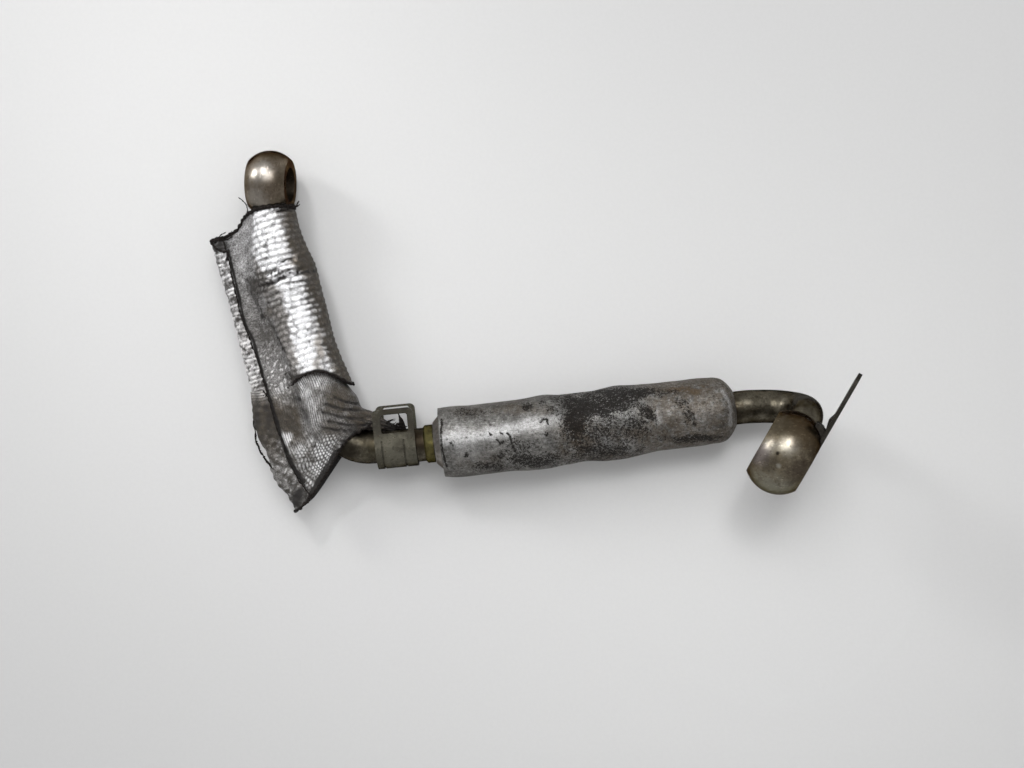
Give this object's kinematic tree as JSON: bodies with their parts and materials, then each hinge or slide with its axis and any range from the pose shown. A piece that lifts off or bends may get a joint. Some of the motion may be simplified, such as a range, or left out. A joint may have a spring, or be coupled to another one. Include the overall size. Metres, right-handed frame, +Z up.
{
  "type": "turbo oil line",
  "caption": "Bent steel oil line with ring ends, a foil-covered hose section, woven heat cloth folded over the long arm, a clip and a locating tab.",
  "frame": {"origin": "middle of the turbo ring's bolt bore", "axes": "+X along the line towards the block ring, +Y towards the turbo ring's side, +Z up from the surface that the line lies on"},
  "size_m": [0.1887, 0.1075, 0.0449],
  "materials": {
    "ring_steel": "heat-tinted forged steel, satin",
    "pipe_steel": "drawn steel tube, dull and lightly rusted",
    "collar_zinc": "yellow zinc plate, dull",
    "shell_steel": "crimped steel shell, dull",
    "foil": "matt aluminium, scratched and sooted",
    "rubber": "moulded rubber",
    "heat_cloth": "woven glass cloth with an aluminium face",
    "bend_cloth": "woven glass cloth with a dirty aluminium face",
    "clip_steel": "stamped strip steel, dull",
    "tab_steel": "stamped plate steel, dull"
  },
  "bodies": {
    "root": {"turbo_banjo": "ring_steel", "turbo_pipe": "pipe_steel", "turbo_collar": "collar_zinc", "turbo_ferrule": "shell_steel", "hose": "rubber", "block_ferrule": "shell_steel", "foil_sleeve": "foil", "block_pipe": "pipe_steel", "block_banjo": "ring_steel", "locating_tab": "tab_steel", "upper_sleeve": "heat_cloth", "lower_sleeve": "bend_cloth", "sleeve_clip": "clip_steel"}
  },
  "joints": []
}
